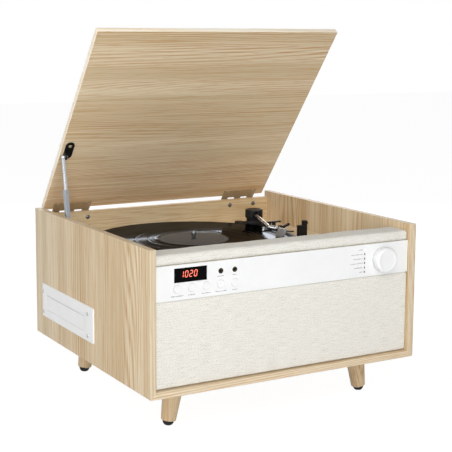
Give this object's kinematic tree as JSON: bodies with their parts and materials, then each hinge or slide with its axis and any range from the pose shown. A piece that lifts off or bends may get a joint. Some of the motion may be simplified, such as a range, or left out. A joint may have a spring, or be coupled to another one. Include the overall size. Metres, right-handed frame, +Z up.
{
  "type": "stereo music centre",
  "caption": "Wooden music centre on splayed legs: open hinged lid over a record deck, cloth front, white control fascia with display, buttons and knob, and a disc drawer.",
  "frame": {"origin": "on the floor, under the middle of the cabinet's width and depth", "axes": "+Z up, -Y towards the front with the controls, +X to the right seen from the front"},
  "size_m": [0.4158, 0.3988, 0.5079],
  "materials": {
    "oak_veneer": "satin",
    "baffle_wood": "raw",
    "leg_wood": "satin",
    "rubber": "matte",
    "cloth": "woven",
    "white_plastic": "satin",
    "black_plastic": "satin",
    "circuit_board": "gloss",
    "grey_metal": "satin",
    "gold_metal": "satin",
    "bronze_metal": "dull",
    "chrome": "polished",
    "platter_black": "satin",
    "felt": "felt",
    "vinyl": "gloss"
  },
  "bodies": {
    "cabinet": {"left_side_panel": "oak_veneer", "right_side_panel": "oak_veneer", "bottom_panel": "oak_veneer", "back_panel": "oak_veneer", "deck_board": "oak_veneer", "baffle_board": "baffle_wood", "top_rail": "cloth", "grille_panel": "cloth", "control_fascia": "white_plastic", "display_module": "black_plastic", "source_lights": "black_plastic", "front_jacks": "black_plastic", "control_board": "circuit_board", "speaker_drivers": "grey_metal", "main_board": "circuit_board", "power_supply": "grey_metal", "rear_plate": "black_plastic", "power_inlet": "black_plastic", "line_out_sockets": "gold_metal", "legs": "leg_wood", "leg_feet": "rubber", "back_hinge_leaves": "bronze_metal", "hinge_bolts": "bronze_metal", "stay_base": "chrome", "cd_bezel": "white_plastic", "cd_mechanism": "grey_metal", "bezel_screws": "chrome", "cassette_bezel": "white_plastic", "cassette_mechanism": "grey_metal", "platter_bearing": "gold_metal", "drive_motor": "grey_metal", "drive_belt": "rubber", "tonearm_base": "black_plastic", "armrest": "black_plastic"},
    "lid": {"lid": "oak_veneer", "lid_hinge_leaves": "bronze_metal", "hinge_pins": "chrome", "lid_screws": "bronze_metal", "stay_bracket": "black_plastic"},
    "stay_bar": {"stay_bar": "chrome"},
    "stay_channel": {"stay_channel": "chrome"},
    "disc_drawer": {"cd_drawer": "white_plastic"},
    "cassette_flap": {"cassette_door": "white_plastic"},
    "turntable": {"platter": "platter_black", "slip_mat": "felt", "vinyl_record": "vinyl", "spindle": "chrome"},
    "pulley": {"motor_pulley": "gold_metal"},
    "arm_pivot": {"pivot_housing": "black_plastic"},
    "tonearm": {"tonearm_tube": "chrome", "headshell": "chrome", "cartridge": "black_plastic"},
    "cue": {"cue_lever": "black_plastic"},
    "speed_selector": {"speed_lever": "black_plastic"},
    "knob": {"control_knob": "white_plastic"},
    "button_1": {"front_button_1": "white_plastic"},
    "button_2": {"front_button_2": "white_plastic"},
    "button_3": {"front_button_3": "white_plastic"},
    "button_4": {"front_button_4": "white_plastic"},
    "button_5": {"front_button_5": "white_plastic"}
  },
  "joints": [
    {"name": "lid_hinge", "type": "hinge", "parent": "cabinet", "child": "lid", "pos_m": [0, 0.1928, 0.2305], "axis": [1, 0, 0], "range_deg": [0, 52]},
    {"name": "stay_swing", "type": "hinge", "parent": "lid", "child": "stay_bar", "pos_m": [-0.1862, 0.11444, 0.32511], "axis": [1, 0, 0], "range_deg": [0, 46]},
    {"name": "stay_telescope", "type": "slide", "parent": "stay_bar", "child": "stay_channel", "axis": [0, 0.1811, 0.9835], "range_m": [0, 0.0762]},
    {"name": "platter_spin", "type": "hinge", "parent": "cabinet", "child": "turntable", "pos_m": [-0.031, 0.018, 0.195], "axis": [0, 0, -1], "continuous": true},
    {"name": "pulley_spin", "type": "hinge", "parent": "cabinet", "child": "pulley", "pos_m": [-0.083, 0.07, 0.195], "axis": [0, 0, -1], "continuous": true},
    {"name": "tonearm_swing", "type": "hinge", "parent": "cabinet", "child": "arm_pivot", "pos_m": [0.128, 0.112, 0.207], "axis": [0, 0, 1], "range_deg": [-22, 28]},
    {"name": "tonearm_lift", "type": "hinge", "parent": "arm_pivot", "child": "tonearm", "pos_m": [0.128, 0.112, 0.22], "axis": [-0.9336, 0.3584, 0], "range_deg": [0, 3.5]},
    {"name": "cue_lever_turn", "type": "hinge", "parent": "cabinet", "child": "cue", "pos_m": [0.14, 0.05, 0.206], "axis": [0, -1, 0], "range_deg": [0, 60]},
    {"name": "speed_select", "type": "hinge", "parent": "cabinet", "child": "speed_selector", "pos_m": [0.166, -0.096, 0.195], "axis": [0, 0, 1], "range_deg": [-30, 30]},
    {"name": "knob_turn", "type": "hinge", "parent": "cabinet", "child": "knob", "pos_m": [0.1512, -0.184, 0.1979], "axis": [0, -1, 0], "continuous": true},
    {"name": "disc_drawer_slide", "type": "slide", "parent": "cabinet", "child": "disc_drawer", "axis": [-1, 0, 0], "range_m": [0, 0.13]},
    {"name": "cassette_flap_swing", "type": "hinge", "parent": "cabinet", "child": "cassette_flap", "pos_m": [0.2038, 0.0763, 0.119], "axis": [0, 1, 0], "range_deg": [0, 80], "stiffness_Nm_per_rad": 0.02, "springref_deg": -34.38},
    {"name": "button_1_press", "type": "slide", "parent": "cabinet", "child": "button_1", "axis": [0, 1, 0], "range_m": [0, 0.0006], "stiffness_N_per_m": 1200, "springref_m": -0.0005},
    {"name": "button_2_press", "type": "slide", "parent": "cabinet", "child": "button_2", "axis": [0, 1, 0], "range_m": [0, 0.0006], "stiffness_N_per_m": 1200, "springref_m": -0.0005},
    {"name": "button_3_press", "type": "slide", "parent": "cabinet", "child": "button_3", "axis": [0, 1, 0], "range_m": [0, 0.0006], "stiffness_N_per_m": 1200, "springref_m": -0.0005},
    {"name": "button_4_press", "type": "slide", "parent": "cabinet", "child": "button_4", "axis": [0, 1, 0], "range_m": [0, 0.0006], "stiffness_N_per_m": 1200, "springref_m": -0.0005},
    {"name": "button_5_press", "type": "slide", "parent": "cabinet", "child": "button_5", "axis": [0, 1, 0], "range_m": [0, 0.0006], "stiffness_N_per_m": 1200, "springref_m": -0.0005}
  ],
  "couplings": [
    {"joint": "stay_swing", "follows": "lid_hinge", "ratio": 0.88},
    {"joint": "stay_telescope", "follows": "lid_hinge", "m_per_rad": 0.0835},
    {"joint": "pulley_spin", "follows": "platter_spin", "ratio": 12},
    {"joint": "cue_lever_turn", "follows": "tonearm_lift", "ratio": 17}
  ]
}
